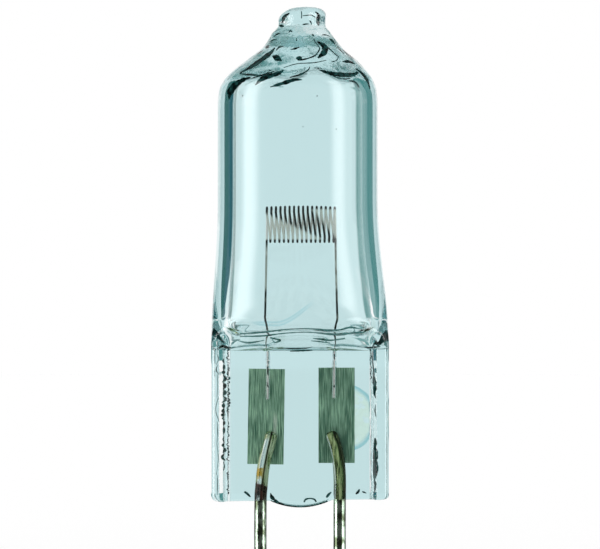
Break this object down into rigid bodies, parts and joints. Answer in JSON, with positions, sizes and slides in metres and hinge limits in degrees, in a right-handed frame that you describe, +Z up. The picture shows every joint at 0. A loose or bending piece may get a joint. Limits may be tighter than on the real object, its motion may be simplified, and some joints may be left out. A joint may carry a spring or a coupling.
{
  "type": "projector bulb",
  "caption": "Clear quartz halogen bulb for a projector: a round tube with a sealed-off tip, a flat-wound filament, and a flat pressed seal with foils and plug-in pins.",
  "frame": {"origin": "midway between the pins, where they leave the bottom of the glass seal", "axes": "+Z up the bulb to its sealed tip, +X across the wide face of the seal and the filament, -Y towards the front"},
  "size_m": [0.0142, 0.0128, 0.0474],
  "materials": {
    "quartz": "polished",
    "tungsten": "satin",
    "foil_metal": "matte",
    "pin_metal": "satin"
  },
  "bodies": {
    "root": {"quartz_envelope": "quartz", "filament": "tungsten", "left_foil": "foil_metal", "right_foil": "foil_metal", "left_pin": "pin_metal", "right_pin": "pin_metal"}
  },
  "joints": []
}
